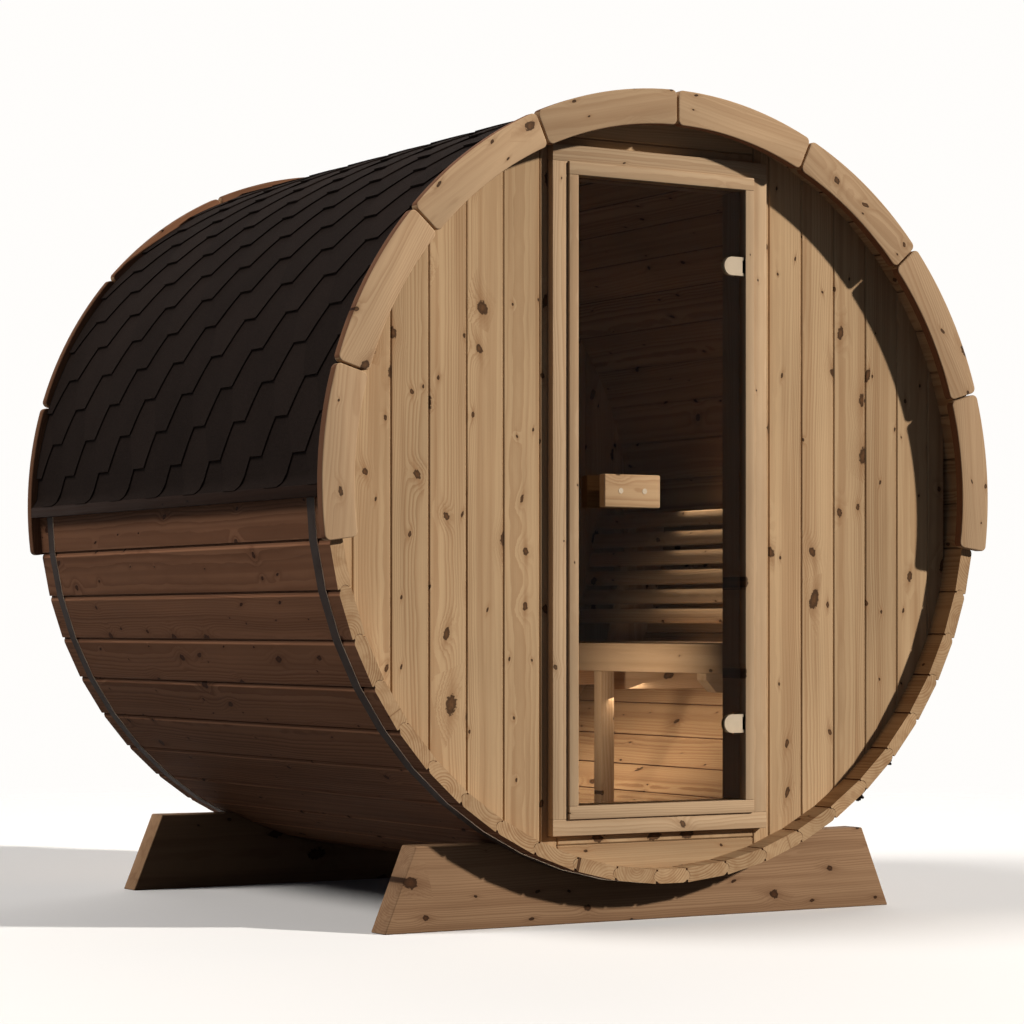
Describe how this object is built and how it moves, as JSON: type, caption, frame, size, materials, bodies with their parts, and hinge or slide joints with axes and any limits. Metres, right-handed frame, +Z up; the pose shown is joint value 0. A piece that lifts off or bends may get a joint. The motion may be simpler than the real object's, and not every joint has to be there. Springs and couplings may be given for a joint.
{
  "type": "barrel sauna",
  "caption": "Round timber cabin lying on two saddle cradles, with a framed glass door in its recessed front wall, a shingled upper half and a bench inside.",
  "frame": {"origin": "on the ground under the middle of the barrel", "axes": "+X right as seen from the door end, +Y along the barrel from the door end to the back, +Z up"},
  "size_m": [2.106, 1.856, 2.1769],
  "materials": {
    "stave_wood": "planed, oiled boards with knots and grain along the barrel",
    "wall_wood": "planed tongue-and-groove boards with knots, grain upright",
    "frame_wood": "planed, fine straight grain",
    "ring_wood": "planed, eased corners",
    "cradle_wood": "sawn and planed plank with knots",
    "lath_wood": "dark stained lath",
    "handle_wood": "smooth block with eased edges",
    "bench_wood": "smooth planed boards",
    "shingle": "mineral granules on bitumen felt, matt",
    "band_steel": "satin",
    "dark_steel": "dark, weathered",
    "hinge_metal": "satin",
    "door_glass": "bronze tinted toughened glass"
  },
  "bodies": {
    "cabin": {"bottom_staves": "stave_wood", "lower_left_staves": "stave_wood", "lower_right_staves": "stave_wood", "left_staves": "stave_wood", "right_staves": "stave_wood", "upper_left_staves": "stave_wood", "upper_right_staves": "stave_wood", "top_left_staves": "stave_wood", "top_right_staves": "stave_wood", "top_staves": "stave_wood", "front_wall_left": "wall_wood", "front_wall_right": "wall_wood", "front_wall_above_door": "wall_wood", "front_wall_below_door": "wall_wood", "rear_wall": "wall_wood", "left_post": "frame_wood", "right_post": "frame_wood", "door_header": "frame_wood", "door_sill": "frame_wood", "inner_frame_left": "frame_wood", "inner_frame_right": "frame_wood", "inner_frame_top": "frame_wood", "inner_frame_bottom": "frame_wood", "hinge_brackets": "hinge_metal", "door_catch": "hinge_metal", "front_ring": "ring_wood", "rear_ring": "ring_wood", "roof_left": "shingle", "roof_right": "shingle", "eave_laths": "lath_wood", "steel_bands": "band_steel", "band_tensioners": "dark_steel", "front_cradle": "cradle_wood", "rear_cradle": "cradle_wood", "bench_seat": "bench_wood", "bench_front_board": "bench_wood", "bench_supports": "bench_wood", "bench_leg": "bench_wood", "backrest_slats": "bench_wood", "backrest_posts": "bench_wood"},
    "door": {"door_glass": "door_glass", "hinge_clamps": "hinge_metal", "outer_handle": "handle_wood", "inner_handle": "handle_wood", "handle_bolts": "hinge_metal"}
  },
  "joints": [
    {"name": "door_swing", "type": "hinge", "parent": "cabin", "child": "door", "pos_m": [0.251, -0.848, 1.127], "axis": [0, 0, 1], "range_deg": [0, 95]}
  ]
}
